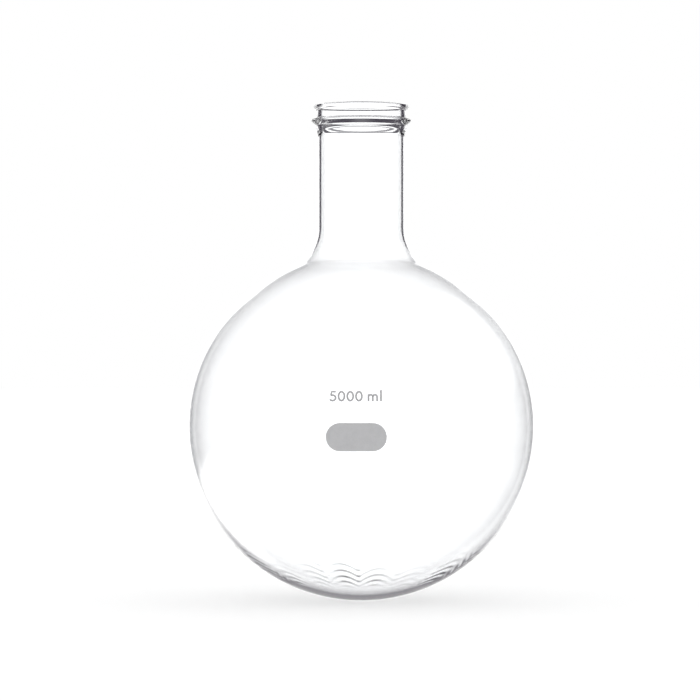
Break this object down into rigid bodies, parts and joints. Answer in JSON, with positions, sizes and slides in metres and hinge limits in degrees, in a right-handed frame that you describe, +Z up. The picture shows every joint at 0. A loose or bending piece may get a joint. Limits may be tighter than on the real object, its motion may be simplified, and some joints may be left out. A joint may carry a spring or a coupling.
{
  "type": "round-bottom flask",
  "caption": "Large hollow glass flask with a spherical bowl, a straight neck with a ring bead, a flared open mouth and a pale enamel writing spot.",
  "frame": {"origin": "lowest point of the outside of the bowl, on the axis of the neck", "axes": "+Z up the neck's axis and out of the mouth, -Y towards the marked side, +X to the right of the marking"},
  "size_m": [0.223, 0.2231, 0.3165],
  "materials": {
    "glass": "clear, fire-polished",
    "enamel": "matt, faintly granular"
  },
  "bodies": {
    "root": {"flask": "glass", "marking_spot": "enamel"}
  },
  "joints": []
}
